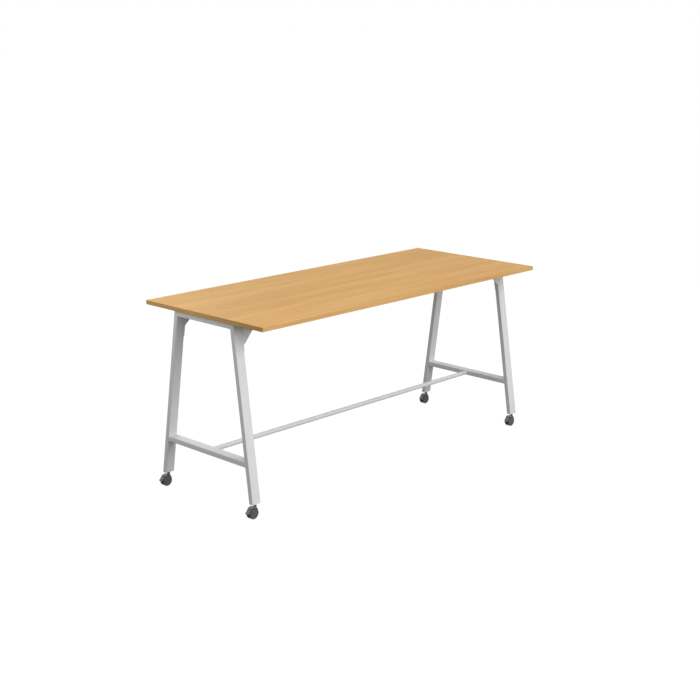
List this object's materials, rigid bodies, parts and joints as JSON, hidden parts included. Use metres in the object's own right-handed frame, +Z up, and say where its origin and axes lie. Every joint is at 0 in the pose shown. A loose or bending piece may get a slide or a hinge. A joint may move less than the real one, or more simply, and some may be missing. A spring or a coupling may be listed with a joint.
{
  "type": "high table",
  "caption": "Long high table with a wood-grain top, white splayed end frames, corner brackets, a central foot bar and swivel twin-wheel casters with brake pedals.",
  "frame": {"origin": "on the floor, under the middle of the table top", "axes": "+X along the table's length, +Y across its width, +Z up"},
  "size_m": [2.4269, 1, 1.1],
  "materials": {
    "wood_laminate": "satin light wood-grain laminate",
    "wood_edge": "satin wood-grain edge strip",
    "board_core": "raw particle board",
    "backing_sheet": "plain balancing laminate",
    "white_coat": "satin powder coat",
    "zinc_steel": "zinc plated",
    "dark_steel": "black passivated zinc",
    "caster_shell": "matte moulded",
    "caster_wheel": "matte moulded"
  },
  "bodies": {
    "frame": {"top_laminate": "wood_laminate", "edge_band_left": "wood_edge", "edge_band_right": "wood_edge", "edge_band_front": "wood_edge", "edge_band_back": "wood_edge", "top_core": "board_core", "backing_laminate": "backing_sheet", "top_rail_left": "white_coat", "lower_rail_left": "white_coat", "top_rail_right": "white_coat", "lower_rail_right": "white_coat", "leg_left_front": "white_coat", "bracket_left_front": "white_coat", "beam_plate_left_front": "white_coat", "leg_left_back": "white_coat", "bracket_left_back": "white_coat", "beam_plate_left_back": "white_coat", "leg_right_front": "white_coat", "bracket_right_front": "white_coat", "beam_plate_right_front": "white_coat", "leg_right_back": "white_coat", "bracket_right_back": "white_coat", "beam_plate_right_back": "white_coat", "beam_front": "white_coat", "beam_back": "white_coat", "foot_bar": "white_coat", "bar_spigots": "white_coat", "foot_plugs": "zinc_steel", "caster_stems": "dark_steel"},
    "caster_left_front": {"caster_body_left_front": "caster_shell", "caster_axle_left_front": "zinc_steel"},
    "wheel_front_left_front": {"caster_wheel_front_left_front": "caster_wheel"},
    "wheel_back_left_front": {"caster_wheel_back_left_front": "caster_wheel"},
    "pedal_left_front": {"caster_pedal_left_front": "caster_shell"},
    "caster_left_back": {"caster_body_left_back": "caster_shell", "caster_axle_left_back": "zinc_steel"},
    "wheel_front_left_back": {"caster_wheel_front_left_back": "caster_wheel"},
    "wheel_back_left_back": {"caster_wheel_back_left_back": "caster_wheel"},
    "pedal_left_back": {"caster_pedal_left_back": "caster_shell"},
    "caster_right_front": {"caster_body_right_front": "caster_shell", "caster_axle_right_front": "zinc_steel"},
    "wheel_front_right_front": {"caster_wheel_front_right_front": "caster_wheel"},
    "wheel_back_right_front": {"caster_wheel_back_right_front": "caster_wheel"},
    "pedal_right_front": {"caster_pedal_right_front": "caster_shell"},
    "caster_right_back": {"caster_body_right_back": "caster_shell", "caster_axle_right_back": "zinc_steel"},
    "wheel_front_right_back": {"caster_wheel_front_right_back": "caster_wheel"},
    "wheel_back_right_back": {"caster_wheel_back_right_back": "caster_wheel"},
    "pedal_right_back": {"caster_pedal_right_back": "caster_shell"}
  },
  "joints": [
    {"name": "swivel_left_front", "type": "hinge", "parent": "frame", "child": "caster_left_front", "pos_m": [-1.162, -0.37824, 0.08], "axis": [0, 0, 1], "continuous": true},
    {"name": "spin_front_left_front", "type": "hinge", "parent": "caster_left_front", "child": "wheel_front_left_front", "pos_m": [-1.1815, -0.37824, 0.032], "axis": [0, 1, 0], "continuous": true},
    {"name": "spin_back_left_front", "type": "hinge", "parent": "caster_left_front", "child": "wheel_back_left_front", "pos_m": [-1.1815, -0.37824, 0.032], "axis": [0, 1, 0], "continuous": true},
    {"name": "brake_left_front", "type": "hinge", "parent": "caster_left_front", "child": "pedal_left_front", "pos_m": [-1.20141, -0.37824, 0.06151], "axis": [0, 1, 0], "range_deg": [0, 20]},
    {"name": "swivel_left_back", "type": "hinge", "parent": "frame", "child": "caster_left_back", "pos_m": [-1.162, 0.37824, 0.08], "axis": [0, 0, 1], "continuous": true},
    {"name": "spin_front_left_back", "type": "hinge", "parent": "caster_left_back", "child": "wheel_front_left_back", "pos_m": [-1.1815, 0.37824, 0.032], "axis": [0, 1, 0], "continuous": true},
    {"name": "spin_back_left_back", "type": "hinge", "parent": "caster_left_back", "child": "wheel_back_left_back", "pos_m": [-1.1815, 0.37824, 0.032], "axis": [0, 1, 0], "continuous": true},
    {"name": "brake_left_back", "type": "hinge", "parent": "caster_left_back", "child": "pedal_left_back", "pos_m": [-1.20141, 0.37824, 0.06151], "axis": [0, 1, 0], "range_deg": [0, 20]},
    {"name": "swivel_right_front", "type": "hinge", "parent": "frame", "child": "caster_right_front", "pos_m": [1.162, -0.37824, 0.08], "axis": [0, 0, 1], "continuous": true},
    {"name": "spin_front_right_front", "type": "hinge", "parent": "caster_right_front", "child": "wheel_front_right_front", "pos_m": [1.1425, -0.37824, 0.032], "axis": [0, 1, 0], "continuous": true},
    {"name": "spin_back_right_front", "type": "hinge", "parent": "caster_right_front", "child": "wheel_back_right_front", "pos_m": [1.1425, -0.37824, 0.032], "axis": [0, 1, 0], "continuous": true},
    {"name": "brake_right_front", "type": "hinge", "parent": "caster_right_front", "child": "pedal_right_front", "pos_m": [1.12259, -0.37824, 0.06151], "axis": [0, 1, 0], "range_deg": [0, 20]},
    {"name": "swivel_right_back", "type": "hinge", "parent": "frame", "child": "caster_right_back", "pos_m": [1.162, 0.37824, 0.08], "axis": [0, 0, 1], "continuous": true},
    {"name": "spin_front_right_back", "type": "hinge", "parent": "caster_right_back", "child": "wheel_front_right_back", "pos_m": [1.1425, 0.37824, 0.032], "axis": [0, 1, 0], "continuous": true},
    {"name": "spin_back_right_back", "type": "hinge", "parent": "caster_right_back", "child": "wheel_back_right_back", "pos_m": [1.1425, 0.37824, 0.032], "axis": [0, 1, 0], "continuous": true},
    {"name": "brake_right_back", "type": "hinge", "parent": "caster_right_back", "child": "pedal_right_back", "pos_m": [1.12259, 0.37824, 0.06151], "axis": [0, 1, 0], "range_deg": [0, 20]}
  ]
}
